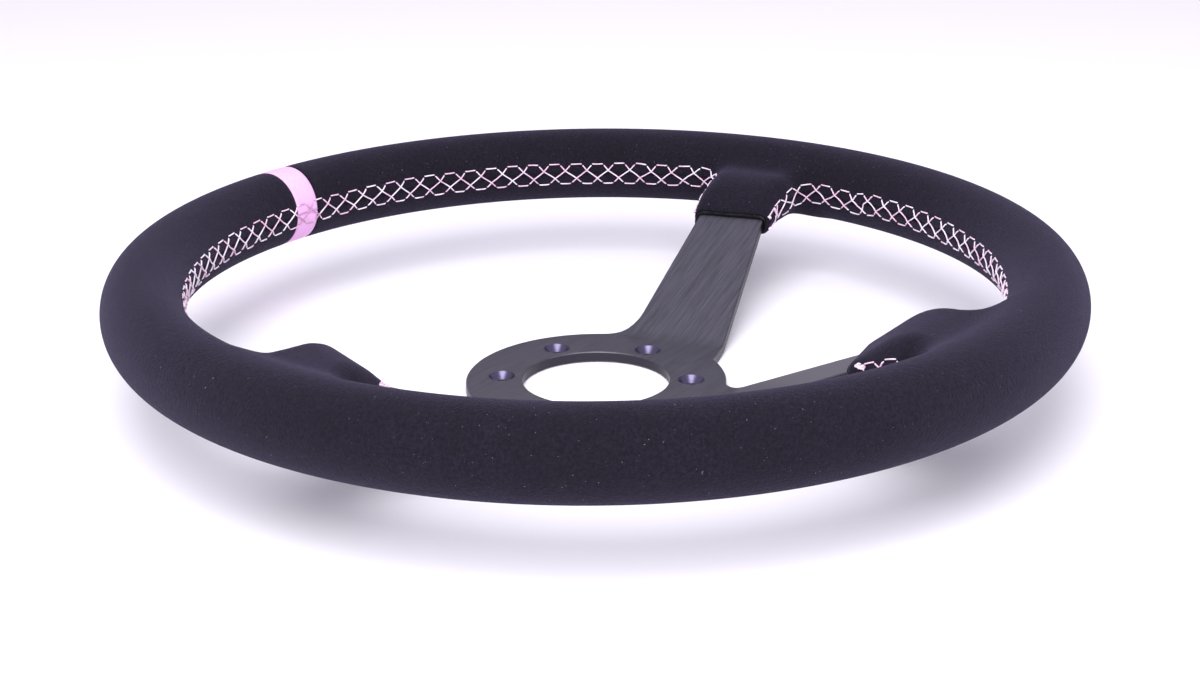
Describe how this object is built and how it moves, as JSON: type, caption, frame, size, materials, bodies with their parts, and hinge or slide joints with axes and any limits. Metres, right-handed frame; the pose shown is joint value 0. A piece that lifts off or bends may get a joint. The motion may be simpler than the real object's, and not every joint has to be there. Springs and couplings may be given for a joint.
{
  "type": "steering wheel",
  "caption": "Round deep-dish three-spoke motorsport steering wheel, suede wrapped, with a flat bolt-on hub plate and an open centre bore.",
  "frame": {"origin": "centre of the hub plate's flat back face, at the bottom of the wheel's box", "axes": "+Z along the wheel's axis towards the driver, +Y to 12 o'clock, +X to 3 o'clock"},
  "size_m": [0.35, 0.35, 0.0579],
  "materials": {
    "anodised_plate": "black anodised over a straight brushed grain that runs one way over the whole plate",
    "steel": "plain steel, hidden inside the grip",
    "foam": "moulded black polyurethane foam",
    "suede_black": "brushed black suede with a soft nap",
    "suede_pink": "pale pink suede with a soft nap",
    "thread_pink": "waxed pale pink sewing thread",
    "edge_black": "glossy black sealing bead"
  },
  "bodies": {
    "root": {"spoke_plate": "anodised_plate", "rim_hoop": "steel", "grip_foam": "foam", "suede_cover": "suede_black", "centre_stripe": "suede_pink", "right_lug": "steel", "right_rivet_upper": "steel", "right_rivet_lower": "steel", "right_edge_bead": "edge_black", "left_lug": "steel", "left_rivet_upper": "steel", "left_rivet_lower": "steel", "left_edge_bead": "edge_black", "lower_lug": "steel", "lower_rivet_upper": "steel", "lower_rivet_lower": "steel", "lower_edge_bead": "edge_black", "thread_upper": "thread_pink", "thread_lower_right": "thread_pink", "thread_lower_left": "thread_pink"}
  },
  "joints": []
}
